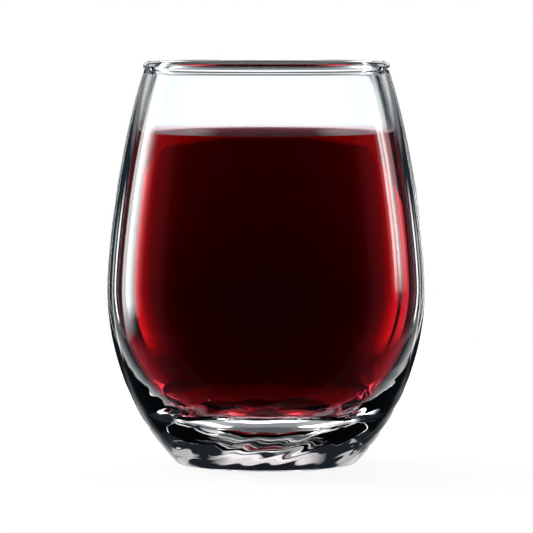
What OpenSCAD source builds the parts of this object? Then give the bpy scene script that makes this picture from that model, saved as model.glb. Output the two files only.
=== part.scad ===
// Stemless wine glass with red wine in it, filled to a little under the rim.
// One blown, fire-polished tumbler with a heavy clear base, and the wine that it holds.
// Z is up, the origin is at the centre of the foot, and all sizes are in millimetres.

/* [Overall size] */
// Height of the glass, foot to rim
height = 112; // [95:1:135]
// Diameter at the widest part of the belly
belly_d = 89.1; // [80:0.1:108]
// Height of the widest part above the table
belly_h = 48.7; // [40:0.1:59]
// Outer diameter of the mouth, over the rolled rim
rim_d = 68.8; // [56:0.1:84]
// Diameter of the outer edge of the ring that the glass stands on
foot_d = 48.4; // [38:0.1:60]

/* [Side curve] */
// Inward lean of the side at the rim, in degrees
rim_lean = 19.6; // [8:0.1:26]
// Outward lean of the side at the foot, in degrees
foot_lean = 47.4; // [36:0.1:54]
// How far the curve runs on upright above the belly
belly_pull_up = 10; // [6:0.1:14]
// How far the curve runs on upright below the belly
belly_pull_down = 19.3; // [14:0.1:22]
// How far the curve keeps the lean of the rim
rim_pull = 21.6; // [16:0.1:26]
// How far the curve keeps the lean of the foot
foot_pull = 15.1; // [10:0.1:18]

/* [Glass] */
// Thickness of the wall at the belly, measured square to it; it grows below and thins above
wall_t = 2.8; // [2:0.1:3.6]
// Thickness of the wall just under the rim
rim_wall_t = 2.3; // [1.8:0.1:3]
// Thickness of the rolled rim
rim_roll = 3.1; // [2.4:0.1:4]
// How far the rolled rim stands out from the side below it
rim_step = 0.6; // [0.3:0.05:0.9]
// Thickness that the wall swells to at the foot, measured square to it
foot_wall_t = 10.3; // [8.5:0.1:12]
// Height of the inside's lowest point above the table
floor_h = 10.3; // [8:0.1:13]
// Height of the heel, where the inside turns from the side into the floor
heel_h = 17.1; // [15:0.1:21]
// How far the inside keeps the lean of the side below the heel
heel_pull = 3.2; // [1.5:0.1:6]
// How far the floor runs level from the centre
floor_pull = 18.5; // [10:0.1:24]
// Radius of the rounded edge of the foot
foot_edge_r = 1.5; // [0.8:0.1:2.5]
// Width of the flat ring that the glass stands on
foot_ring_w = 4.5; // [3:0.1:7]
// Depth of the shallow dome pressed into the underside
punt_h = 1.8; // [1:0.1:3]

/* [Wine] */
// Distance from the rim down to the wine's level surface
free_h = 19.9; // [16:0.1:50]
// How far the wine climbs the wall
meniscus_h = 1.4; // [0.8:0.1:2]
// Width of the ring over which it climbs
meniscus_w = 3.2; // [2:0.1:4]
// Gap that keeps the wine's solid just clear of the glass
wine_gap = 0.05; // [0.02:0.01:0.15]

/* [Hidden] */
side_steps = 18;
floor_steps = 14;
edge_steps = 5;
punt_steps = 8;
meniscus_steps = 6;
// Share of the side curve over which a direction is measured.
way_step = 0.01;
round_fn = 96;
belly_r = belly_d / 2;
foot_r = foot_d / 2;
punt_r = foot_r - foot_ring_w;
roll_r = rim_roll / 2;
// Centre of the rolled rim's round section, and where the side's outline runs into it.
roll_at = [rim_d / 2 - roll_r, height - roll_r];
rim_at = [rim_d / 2 - rim_step, roll_at[1]];

// A point on the smooth curve from a to d that leaves towards b and arrives from c.
function curve_point(a, b, c, d, t) =
    pow(1 - t, 3) * a + 3 * pow(1 - t, 2) * t * b + 3 * (1 - t) * t * t * c + pow(t, 3) * d;

// The way that curve runs there.
function curve_way(a, b, c, d, t) =
    let (slope = pow(1 - t, 2) * (b - a) + 2 * (1 - t) * t * (c - b) + t * t * (d - c))
    slope / norm(slope);

// A point on a side curve moved square to the side into the glass. The inset is its depth at
// the belly and what it gains, ever faster, towards the start and towards the end of the curve.
function inset_point(side, inset, t) =
    let (
        way = curve_way(side[0], side[1], side[2], side[3], t),
        depth = inset[0] + inset[1] * pow(1 - t, 2) + inset[2] * t * t
    )
    curve_point(side[0], side[1], side[2], side[3], t) + depth * [-way[1], way[0]];

// Points along that moved curve, from share t0 of it to share t1.
function inset_run(side, inset, t0, t1) =
    [for (i = [0 : side_steps]) inset_point(side, inset, t0 + (t1 - t0) * i / side_steps)];

// The share at which the moved curve reaches height z, found by halving.
function share_at(side, inset, z, low = 0, high = 1, tries = 30) =
    let (mid = (low + high) / 2)
    tries == 0 ? mid
    : inset_point(side, inset, mid)[1] < z ? share_at(side, inset, z, mid, high, tries - 1)
    : share_at(side, inset, z, low, mid, tries - 1);

// Points on an arc, angles in degrees.
function arc_run(centre, r, from, to, steps) =
    [for (i = [0 : steps])
        let (a = from + (to - from) * i / steps)
        centre + r * [cos(a), sin(a)]];

function reversed(list) = [for (i = [len(list) - 1 : -1 : 0]) list[i]];

// The outline's lower half, foot edge to belly, and upper half, belly to rim.
foot_edge_at = [foot_r + foot_edge_r * cos(foot_lean), foot_edge_r * (1 - sin(foot_lean))];
low_side = [
    foot_edge_at,
    foot_edge_at + foot_pull * [sin(foot_lean), cos(foot_lean)],
    [belly_r, belly_h - belly_pull_down],
    [belly_r, belly_h]
];
high_side = [
    [belly_r, belly_h],
    [belly_r, belly_h + belly_pull_up],
    rim_at + rim_pull * [sin(rim_lean), -cos(rim_lean)],
    rim_at
];
no_inset = [0, 0, 0];
first_step = 1 / side_steps;

// How thick the wall is below and above the belly. Gap draws the line in from the glass.
function low_inset(gap) = [wall_t + gap, foot_wall_t - wall_t, 0];
function high_inset(gap) = [wall_t + gap, 0, rim_wall_t - wall_t];

// Where the side of the inside ends at the heel, and the way it runs there.
heel_share = share_at(low_side, low_inset(0), heel_h);
above_heel =
    inset_point(low_side, low_inset(0), heel_share + way_step)
    - inset_point(low_side, low_inset(0), heel_share);
heel_way = above_heel / norm(above_heel);

// The floor, from its centre out to the heel.
function floor_line(gap) =
    let (
        centre_at = [0, floor_h + gap],
        heel_at = inset_point(low_side, low_inset(gap), heel_share)
    )
    [for (i = [0 : floor_steps - 1])
        curve_point(
            centre_at,
            centre_at + [floor_pull, 0],
            heel_at - heel_pull * heel_way,
            heel_at,
            i / floor_steps
        )];

// The inside of the glass from the centre of its floor up to height z above the belly.
function inside(gap, z) =
    let (top_share = share_at(high_side, high_inset(gap), z))
    concat(
        floor_line(gap),
        inset_run(low_side, low_inset(gap), heel_share, 1),
        inset_run(high_side, high_inset(gap), first_step, top_share)
    );

// The outside, from the foot's rounded edge up to the rim.
function outside() =
    concat(
        inset_run(low_side, no_inset, first_step, 1),
        inset_run(high_side, no_inset, first_step, 1)
    );

// Underside of the base: the domed punt, then the flat ring, then the rounded edge.
punt_ball_r = (punt_r * punt_r + punt_h * punt_h) / (2 * punt_h);
punt_edge = 90 - asin(punt_r / punt_ball_r);
punt_run = arc_run([0, punt_h - punt_ball_r], punt_ball_r, 90, punt_edge, punt_steps);
foot_edge_run = arc_run([foot_r, foot_edge_r], foot_edge_r, -90, -foot_lean, edge_steps);

// Heights of the wine's level surface and of the line where it meets the glass.
wine_h = height - free_h;
contact_h = wine_h + meniscus_h;

module tumbler() {
    color([0.86, 0.91, 0.92, 0.35])
    rotate_extrude($fn = round_fn)
    union() {
        polygon(concat(punt_run, foot_edge_run, outside(), reversed(inside(0, roll_at[1]))));
        translate(roll_at) circle(r = roll_r, $fn = round_fn);
    }
}

module wine() {
    wall_line = inside(wine_gap, contact_h);
    contact_r = wall_line[len(wall_line) - 1][0];
    color([0.29, 0.01, 0.05])
    rotate_extrude($fn = round_fn)
    polygon(concat(
        wall_line,
        [for (i = [1 : meniscus_steps])
            let (in = i / meniscus_steps)
            [contact_r - meniscus_w * in, wine_h + meniscus_h * pow(1 - in, 3)]],
        [[0, wine_h]]
    ));
}

tumbler();
wine();
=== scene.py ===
import bpy, bmesh, math, random
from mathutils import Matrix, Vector


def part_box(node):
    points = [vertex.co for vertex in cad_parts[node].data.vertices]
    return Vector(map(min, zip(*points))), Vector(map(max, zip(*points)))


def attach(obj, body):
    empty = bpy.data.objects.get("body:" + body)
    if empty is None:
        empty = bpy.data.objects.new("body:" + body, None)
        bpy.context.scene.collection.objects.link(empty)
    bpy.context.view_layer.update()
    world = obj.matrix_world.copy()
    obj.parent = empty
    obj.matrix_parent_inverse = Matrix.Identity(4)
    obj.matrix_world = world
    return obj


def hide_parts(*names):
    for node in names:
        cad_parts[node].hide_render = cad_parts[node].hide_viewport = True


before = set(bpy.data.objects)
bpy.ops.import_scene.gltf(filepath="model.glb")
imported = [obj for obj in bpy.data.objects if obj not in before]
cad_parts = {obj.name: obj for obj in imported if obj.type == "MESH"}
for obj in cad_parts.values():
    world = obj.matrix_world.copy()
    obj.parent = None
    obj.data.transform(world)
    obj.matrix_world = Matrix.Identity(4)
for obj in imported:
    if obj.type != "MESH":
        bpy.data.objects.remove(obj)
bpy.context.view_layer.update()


# ---- The tumbler
# One piece of clear soda-lime glass, blown into a mould, its rim cut and rolled in the fire.
# The wall thins a little to the rim and swells into a heavy base, which keeps shallow waves.

MM = 0.001
tumbler_low, tumbler_high = (Vector(corner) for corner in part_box("tumbler"))
BELLY_R = (tumbler_high.x - tumbler_low.x) / 2
RIM_H = tumbler_high.z
BELLY_H = 48.7 * MM
RIM_R = 34.4 * MM
FOOT_R = 24.2 * MM
RIM_LEAN = math.radians(19.6)
FOOT_LEAN = math.radians(47.4)
RIM_PULL = 21.6 * MM
FOOT_PULL = 15.1 * MM
BELLY_PULL_UP = 10 * MM
BELLY_PULL_DOWN = 19.3 * MM
WALL_T = 2.8 * MM
RIM_WALL_T = 2.3 * MM
ROLL_R = 1.55 * MM
RIM_STEP = 0.6 * MM
FOOT_WALL_T = 10.3 * MM
FLOOR_H = 10.3 * MM
HEEL_H = 17.1 * MM
FLOOR_PULL = 18.5 * MM
HEEL_PULL = 3.2 * MM
FOOT_EDGE_R = 1.5 * MM
FOOT_RING_W = 4.5 * MM
PUNT_H = 1.8 * MM
# The rolled rim's section runs from outside to inside between these angles, in degrees, and
# the inside of the wall meets it this far below the top.
ROLL_FROM, ROLL_TO = -31, 219
INSIDE_ENDS = 2.9 * MM
# Points round each turned piece.
ROUND = 240


def along(curve, t):
    """The point at share t of a smooth curve given by its two ends and the two pulls between."""
    a, b, c, d = curve
    u = 1 - t
    return a * u**3 + b * (3 * u * u * t) + c * (3 * u * t * t) + d * t**3


def heading(curve, t):
    """The way the curve runs at share t."""
    a, b, c, d = curve
    u = 1 - t
    return ((b - a) * u * u + (c - b) * (2 * u * t) + (d - c) * t * t).normalized()


def set_in(curve, wall, t):
    """The point at share t, moved square to the curve into the glass. The wall is its thickness
    at the belly and what it gains towards the start and the end of the curve."""
    way = heading(curve, t)
    belly, at_start, at_end = wall
    depth = belly + at_start * (1 - t) ** 2 + at_end * t**2
    return along(curve, t) + Vector((-way.y, way.x)) * depth


def share_at(curve, wall, height):
    """The share at which the moved curve is at that height, found by halving."""
    low, high = 0.0, 1.0
    for _ in range(40):
        middle = (low + high) / 2
        if set_in(curve, wall, middle).y < height:
            low = middle
        else:
            high = middle
    return low


def arc(centre, radius, start, end, steps):
    """Points on a round arc in the outline's plane, angles in degrees."""
    angles = [math.radians(start + (end - start) * i / steps) for i in range(steps + 1)]
    return [centre + Vector((math.cos(a), math.sin(a))) * radius for a in angles]


roll_centre = Vector((RIM_R - ROLL_R, RIM_H - ROLL_R))
rim_end = Vector((RIM_R - RIM_STEP, roll_centre.y))
foot_end = Vector((
    FOOT_R + FOOT_EDGE_R * math.cos(FOOT_LEAN),
    FOOT_EDGE_R * (1 - math.sin(FOOT_LEAN)),
))
low_side = (
    foot_end,
    foot_end + Vector((math.sin(FOOT_LEAN), math.cos(FOOT_LEAN))) * FOOT_PULL,
    Vector((BELLY_R, BELLY_H - BELLY_PULL_DOWN)),
    Vector((BELLY_R, BELLY_H)),
)
high_side = (
    Vector((BELLY_R, BELLY_H)),
    Vector((BELLY_R, BELLY_H + BELLY_PULL_UP)),
    rim_end + Vector((math.sin(RIM_LEAN), -math.cos(RIM_LEAN))) * RIM_PULL,
    rim_end,
)


def inside_line(reach, height, steps=48):
    """The inside of the glass from its floor's centre up to a height; reach goes into the wall."""
    lower = (WALL_T - reach, FOOT_WALL_T - WALL_T, 0)
    upper = (WALL_T - reach, 0, RIM_WALL_T - WALL_T)
    heel_share = share_at(low_side, lower, HEEL_H)
    heel = set_in(low_side, lower, heel_share)
    heel_way = (set_in(low_side, lower, heel_share + 0.01) - heel).normalized()
    floor_start = Vector((0, FLOOR_H - reach))
    floor_line = (
        floor_start,
        floor_start + Vector((FLOOR_PULL, 0)),
        heel - heel_way * HEEL_PULL,
        heel,
    )
    top_share = share_at(high_side, upper, height)
    line = [along(floor_line, i / steps) for i in range(steps)]
    line += [
        set_in(low_side, lower, heel_share + (1 - heel_share) * i / steps) for i in range(steps)
    ]
    line += [set_in(high_side, upper, top_share * i / steps) for i in range(steps + 1)]
    return line


def turned(name, outline, waves=None):
    """A closed body of revolution: the outline starts and ends on the axis, radius then height.
    Waves gives how far the skin lies in from the outline at a place of it and an angle."""
    mesh = bmesh.new()
    rings = []
    for place, (radius, height) in enumerate(outline):
        if radius < 1e-7:
            rings.append([mesh.verts.new((0, 0, height))])
            continue
        ring = []
        for i in range(ROUND):
            a = 2 * math.pi * i / ROUND
            out = radius - (waves(place, a) if waves else 0)
            ring.append(mesh.verts.new((out * math.cos(a), out * math.sin(a), height)))
        rings.append(ring)
    for ring, after in zip(rings, rings[1:]):
        for i in range(ROUND):
            j = (i + 1) % ROUND
            if len(ring) == 1:
                mesh.faces.new((ring[0], after[j], after[i]))
            elif len(after) == 1:
                mesh.faces.new((ring[i], ring[j], after[0]))
            else:
                mesh.faces.new((ring[i], ring[j], after[j], after[i]))
    bmesh.ops.recalc_face_normals(mesh, faces=mesh.faces)
    data = bpy.data.meshes.new(name)
    mesh.to_mesh(data)
    mesh.free()
    for face in data.polygons:
        face.use_smooth = True
    piece = bpy.data.objects.new(name, data)
    bpy.context.scene.collection.objects.link(piece)
    return piece


punt_r = FOOT_R - FOOT_RING_W
punt_ball_r = (punt_r**2 + PUNT_H**2) / (2 * PUNT_H)
punt_edge = 90 - math.degrees(math.asin(punt_r / punt_ball_r))
punt = arc(Vector((0, PUNT_H - punt_ball_r)), punt_ball_r, 90, punt_edge, 24)
punt[0].x = 0
foot_edge = arc(Vector((FOOT_R, FOOT_EDGE_R)), FOOT_EDGE_R, -90, -math.degrees(FOOT_LEAN), 10)
side = [along(low_side, i / 70) for i in range(1, 70)]
side += [along(high_side, i / 100) for i in range(99)]
roll = arc(roll_centre, ROLL_R, ROLL_FROM, ROLL_TO, 40)
inner = inside_line(0, RIM_H - INSIDE_ENDS)
outline = punt + foot_edge + side + roll + inner[::-1]

# The base is a little uneven: long shallow waves that die out at the foot and near the belly.
WAVE_DEPTH = 0.08 * MM
WAVES_TO = 30 * MM
WAVES_FULL_OVER = 4 * MM
side_starts = len(punt) + len(foot_edge)
side_ends = side_starts + len(side)
# Each ripple: waves in one round, waves by height, and where it starts.
chance = random.Random(7)
ripples = [
    (chance.randint(-28, 28), chance.uniform(0.4, 1.8) / MM, chance.uniform(0, 6.3))
    for _ in range(14)
]


def waves(place, angle):
    """How far the outer side of the base lies in from its true outline."""
    height = outline[place].y
    if not side_starts <= place < side_ends:
        return 0
    fade = max(0, 1 - height / WAVES_TO) * min(1, (height - FOOT_EDGE_R) / WAVES_FULL_OVER)
    swell = sum(math.sin(turns * angle + rise * height + start) for turns, rise, start in ripples)
    return WAVE_DEPTH * max(0, fade) * max(0, swell / 4 + 1)


glass = turned("glass", outline, waves)
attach(glass, "root")
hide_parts("tumbler")


def linear_colour(hexed):
    """The linear colour of an sRGB hex value."""
    parts = [int(hexed[i:i + 2], 16) / 255 for i in (1, 3, 5)]
    linear = [p / 12.92 if p <= 0.04045 else ((p + 0.055) / 1.055) ** 2.4 for p in parts]
    return (*linear, 1)


def add_node(tree, kind, settings=None, links=None):
    """Adds a node, sets its inputs or its own settings, and links its inputs to sockets."""
    node = tree.nodes.new(kind)
    for key, value in (settings or {}).items():
        if key in node.inputs:
            node.inputs[key].default_value = value
        else:
            setattr(node, key, value)
    for key, socket in (links or {}).items():
        tree.links.new(socket, node.inputs[key])
    return node


def new_material(name):
    """An empty node material and its tree."""
    material = bpy.data.materials.new(name)
    material.use_nodes = True
    material.node_tree.nodes.clear()
    return material, material.node_tree


# Fire-polished soda-lime glass: sharp, colourless in the wall, the faintest blue in the base.
clear_glass, tree = new_material("fire_polished_soda_lime_glass")
body = add_node(tree, "ShaderNodeBsdfPrincipled", {
    "Base Color": linear_colour("#f8fcfd"), "Roughness": 0.0, "IOR": 1.5,
    "Transmission Weight": 1.0,
})
add_node(tree, "ShaderNodeOutputMaterial", links={"Surface": body.outputs["BSDF"]})
glass.data.materials.append(clear_glass)


# ---- The wine
# A deep red wine that wets the glass: its side is the inside of the wall, its top is level
# and climbs the wall in a narrow ring. It lets red through where it is thin.

WINE_H = RIM_H - 19.9 * MM
MENISCUS_H = 1.4 * MM
MENISCUS_W = 3.2 * MM
# How far the wine goes into the wall, so that no air shows between.
WALL_REACH = 0.06 * MM

wall_line = inside_line(WALL_REACH, WINE_H + MENISCUS_H)
contact_r = wall_line[-1].x
climb = [
    Vector((contact_r - MENISCUS_W * s, WINE_H + MENISCUS_H * (1 - s) ** 3))
    for s in (i / 16 for i in range(1, 17))
]
level = [Vector((climb[-1].x * (1 - i / 6), WINE_H)) for i in range(1, 7)]
level[-1].x = 0
wine = turned("wine_body", wall_line + climb + level)
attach(wine, "root")
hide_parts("wine")

# Still red wine: green and blue are gone within some millimetres, and deep red comes through
# the thin sides, so it looks almost black in the middle. The light is bent by the glass around
# it and not by its own skin. Only the open top, which faces up, has a drink's gloss.
red_wine, tree = new_material("red_wine_still")
facing = add_node(tree, "ShaderNodeNewGeometry")
facing_up = add_node(tree, "ShaderNodeSeparateXYZ", links={0: facing.outputs["Normal"]})
open_top = add_node(tree, "ShaderNodeMapRange", {
    "From Min": 0.3, "From Max": 0.5, "To Min": 0.0, "To Max": 1.0,
}, {"Value": facing_up.outputs["Z"]})
body = add_node(tree, "ShaderNodeBsdfPrincipled", {
    "Base Color": linear_colour("#ffffff"), "Roughness": 0.0, "IOR": 1.0,
    "Transmission Weight": 1.0, "Coat Roughness": 0.0, "Coat IOR": 1.34,
}, {"Coat Weight": open_top.outputs["Result"]})
depth = add_node(tree, "ShaderNodeVolumeAbsorption", {
    "Color": (0.781, 0.0, 0.12, 1), "Density": 155.0,
})
add_node(tree, "ShaderNodeOutputMaterial", links={
    "Surface": body.outputs["BSDF"], "Volume": depth.outputs["Volume"],
})
wine.data.materials.append(red_wine)


# ---- The camera
# It looks a little down at the middle of the glass from just over a metre away.

CAMERA_BACK = 1.2
CAMERA_H = 0.134
AIM_H = 0.0548
eye = Vector((0, -CAMERA_BACK, CAMERA_H))
aim = Vector((0, 0, AIM_H))
camera = bpy.data.objects.new("camera", bpy.data.cameras.new("camera"))
camera.location = eye
camera.rotation_euler = (aim - eye).to_track_quat("-Z", "Y").to_euler()
camera.data.lens = 291
camera.data.clip_start = 0.05
bpy.context.scene.collection.objects.link(camera)
bpy.context.scene.camera = camera


# ---- The studio
# A pale floor, a curved backdrop of light with a soft box at each end, and a black hood round
# the camera. The backdrop and the hood stand on the camera's rig, so each view is lit the way
# the first one is.

bpy.context.scene.view_settings.view_transform = "Standard"
bpy.context.view_layer.update()


def from_behind(aside, above):
    """The way from the glass to a light: aside turns from straight behind it, above lifts."""
    aside, above = math.radians(aside), math.radians(above)
    return Vector((
        math.sin(aside) * math.cos(above), math.cos(aside) * math.cos(above), math.sin(above),
    ))


def on_rig(thing):
    """Fixes a light to the camera and keeps it out of the picture."""
    thing.visible_camera = False
    bpy.context.scene.collection.objects.link(thing)
    bpy.context.view_layer.update()
    thing.parent = camera
    thing.matrix_parent_inverse = camera.matrix_world.inverted()


def between(value, points):
    """Straight steps through a list of (place, height) points, level past both ends."""
    if value <= points[0][0]:
        return points[0][1]
    for (x, low), (x_after, high) in zip(points, points[1:]):
        if value <= x_after:
            return low + (high - low) * (value - x) / (x_after - x)
    return points[-1][1]


# Distance from the glass to the backdrop and the hood.
LIGHT_OUT = 3.0


def glow(aside, above):
    """The brightness of the backdrop in a direction: clean white above, shaded behind the drink,
    dark at the sides for the glass's dark edges, lit low down for its base, and two soft boxes."""
    off = abs(aside)
    # From level up: the clear field, and the part that the wine's top mirrors.
    clear = between(off, [(8, 1.35), (10, 1.0), (12.5, 0.7), (13.5, 0)])
    mirrored = between(off, [
        (2, 0.01), (2.6, 0.15), (3.5, 0.3), (10, 0.5), (12, 0.75), (14, 0),
    ])
    # Behind the wine: dark in the middle, bright where it is thin, and a band at its right edge.
    shaded = between(off, [
        (3.7, 0.14), (4.8, 0.24), (5.8, 0.5), (6.5, 0.75), (7.2, 1.3), (8, 2.3), (8.8, 3.6),
        (9.5, 3.6), (9.9, 0),
    ])
    shaded *= 1 + between(off, [(5, 0.8), (6.5, 0)]) * between(above, [(-4.5, 0), (-2.8, 1)])
    if aside > 0:
        shaded += between(off, [(10.6, 0), (11.2, 3), (14.6, 3), (15.2, 0)])
    # Below: what the wine's lower part and the base look down on.
    low = between(off, [(4, 0.1), (8, 0.25), (12, 0.8), (17, 1.0), (24, 0.3), (34, 0)])
    deep = between(off, [(4, 0.3), (9, 0.3), (13, 0.5), (20, 0.5), (28, 0.1), (34, 0)])
    bottom = between(off, [(18, 3.0), (34, 0)])
    bend = between(off, [(7.5, 0), (9, 3.5), (13, 4.5), (15, 0)])
    # A narrow upright strip each side, for the white line within the wall.
    strip = between(off, [(31.8, 0), (32.2, 1.8), (35, 1.8), (35.4, 0)])
    edge = between(off, [(0, -1.88), (2.5, -1.84), (3.7, -1.8), (5.8, -1.6)])
    level = shaded + (clear - shaded) * between(above, [(edge, 0), (edge + 0.05, 1)])
    level += (mirrored - level) * between(above, [(0.7, 0), (0.8, 1)])
    level *= between(above, [(3.4, 1), (4.2, 0)])
    level += (low - level) * between(above, [(-16, 1), (-12, 0)])
    level += (deep - level) * between(above, [(-38, 1), (-33, 0)])
    level += (bottom - level) * between(above, [(-53, 1), (-50.5, 0)])
    level += bend * between(above, [(-36, 0), (-33, 1), (-28, 1), (-25, 0)])
    # Above: light for the lines of the foot, and for the lens of the base at the very top.
    level += between(off, [(12, 1), (20, 0)]) * between(
        above, [(5, 0), (6, 1.3), (9, 1.3), (10, 1.1), (17, 1.1), (20, 0)])
    level += between(off, [(24, 0), (27, 0.7), (40, 0.7), (44, 0)]) * between(
        above, [(5, 0), (6.5, 1), (14, 1), (16, 0)])
    strip *= between(above, [(-14, 0), (-12, 1), (0, 1), (2, 0)])
    left_box = between(aside, [
        (-76, 0), (-73, 0.2), (-69.6, 0.7), (-65.8, 2.8), (-62, 5.5), (-54, 5.5), (-52.5, 0),
    ]) * between(above, [(-15, 0), (-7, 1), (24, 1), (28, 0)])
    right_box = between(aside, [
        (58, 0), (60, 1.5), (66, 1.5), (67.5, 8), (69.5, 8), (71, 1), (75, 0),
    ]) * between(above, [(-8, 0), (-4, 0.06), (2, 1), (18, 1), (18.5, 0)])
    return level + strip + left_box + right_box + between(above, [(48, 0), (52, 0.9)])


# A quarter of a degree apart sideways, half a degree upright, and finer near level, where the
# edge between the clear and the shaded field lies just behind the wine's top.
SCREEN_ASIDE = [i / 4 for i in range(-336, 337)]
SCREEN_ABOVE = [j / 2 for j in range(-130, -6)] + [j / 20 for j in range(-60, 100)]
SCREEN_ABOVE += [j / 2 for j in range(10, 131)]
screen_mesh = bmesh.new()
lit = screen_mesh.verts.layers.float.new("lit")
columns = []
for aside in SCREEN_ASIDE:
    column = []
    for above in SCREEN_ABOVE:
        vertex = screen_mesh.verts.new(aim + from_behind(aside, above) * LIGHT_OUT)
        vertex[lit] = glow(aside, above)
        column.append(vertex)
    columns.append(column)
for column, after in zip(columns, columns[1:]):
    for j in range(len(column) - 1):
        screen_mesh.faces.new((column[j], after[j], after[j + 1], column[j + 1]))
screen_data = bpy.data.meshes.new("screen")
screen_mesh.to_mesh(screen_data)
screen_mesh.free()
screen = bpy.data.objects.new("screen", screen_data)
on_rig(screen)
lit_cloth, tree = new_material("lit_screen")
level = add_node(tree, "ShaderNodeAttribute", {"attribute_name": "lit"})
shine = add_node(
    tree, "ShaderNodeEmission", {"Color": (1, 1, 1, 1)}, {"Strength": level.outputs["Fac"]})
dusk = add_node(
    tree, "ShaderNodeEmission", {"Color": linear_colour("#20282d"), "Strength": 1.0})
both = add_node(tree, "ShaderNodeAddShader", links={0: shine.outputs[0], 1: dusk.outputs[0]})
add_node(tree, "ShaderNodeOutputMaterial", links={"Surface": both.outputs[0]})
screen_data.materials.append(lit_cloth)

HOOD_ASIDE = range(100, 261, 8)
HOOD_ABOVE = range(-90, 91, 10)
hood_mesh = bmesh.new()
columns = [
    [hood_mesh.verts.new(aim + from_behind(aside, above) * LIGHT_OUT) for above in HOOD_ABOVE]
    for aside in HOOD_ASIDE
]
for column, after in zip(columns, columns[1:]):
    for j in range(len(column) - 1):
        hood_mesh.faces.new((column[j], after[j], after[j + 1], column[j + 1]))
hood_data = bpy.data.meshes.new("hood")
hood_mesh.to_mesh(hood_data)
hood_mesh.free()
hood = bpy.data.objects.new("hood", hood_data)
on_rig(hood)
black_cloth, tree = new_material("black_hood")
matt = add_node(tree, "ShaderNodeBsdfDiffuse", {"Color": (0.001, 0.001, 0.001, 1)})
add_node(tree, "ShaderNodeOutputMaterial", links={"Surface": matt.outputs[0]})
hood_data.materials.append(black_cloth)

world = bpy.data.worlds.new("studio")
bpy.context.scene.world = world
world.use_nodes = True
tree = world.node_tree
tree.nodes.clear()
path = add_node(tree, "ShaderNodeLightPath")
seen = add_node(tree, "ShaderNodeBackground", {"Color": (1, 1, 1, 1), "Strength": 1.0})
dark = add_node(
    tree, "ShaderNodeBackground", {"Color": linear_colour("#242d33"), "Strength": 1.0})
mixed = add_node(tree, "ShaderNodeMixShader", links={
    0: path.outputs["Is Camera Ray"], 1: dark.outputs[0], 2: seen.outputs[0],
})
add_node(tree, "ShaderNodeOutputWorld", links={"Surface": mixed.outputs[0]})

FLOOR_R = 0.4
floor_mesh = bmesh.new()
bmesh.ops.create_circle(floor_mesh, cap_ends=True, segments=96, radius=FLOOR_R)
floor_data = bpy.data.meshes.new("floor")
floor_mesh.to_mesh(floor_data)
floor_mesh.free()
floor = bpy.data.objects.new("floor", floor_data)
bpy.context.scene.collection.objects.link(floor)
pale, tree = new_material("pale_floor")
matt = add_node(tree, "ShaderNodeBsdfDiffuse", {"Color": (0.8, 0.8, 0.8, 1)})
lift = add_node(tree, "ShaderNodeEmission", {"Color": (1, 1, 1, 1), "Strength": 0.9})
both = add_node(tree, "ShaderNodeAddShader", links={0: matt.outputs[0], 1: lift.outputs[0]})
add_node(tree, "ShaderNodeOutputMaterial", links={"Surface": both.outputs[0]})
floor_data.materials.append(pale)
floor.visible_glossy = floor.visible_transmission = False
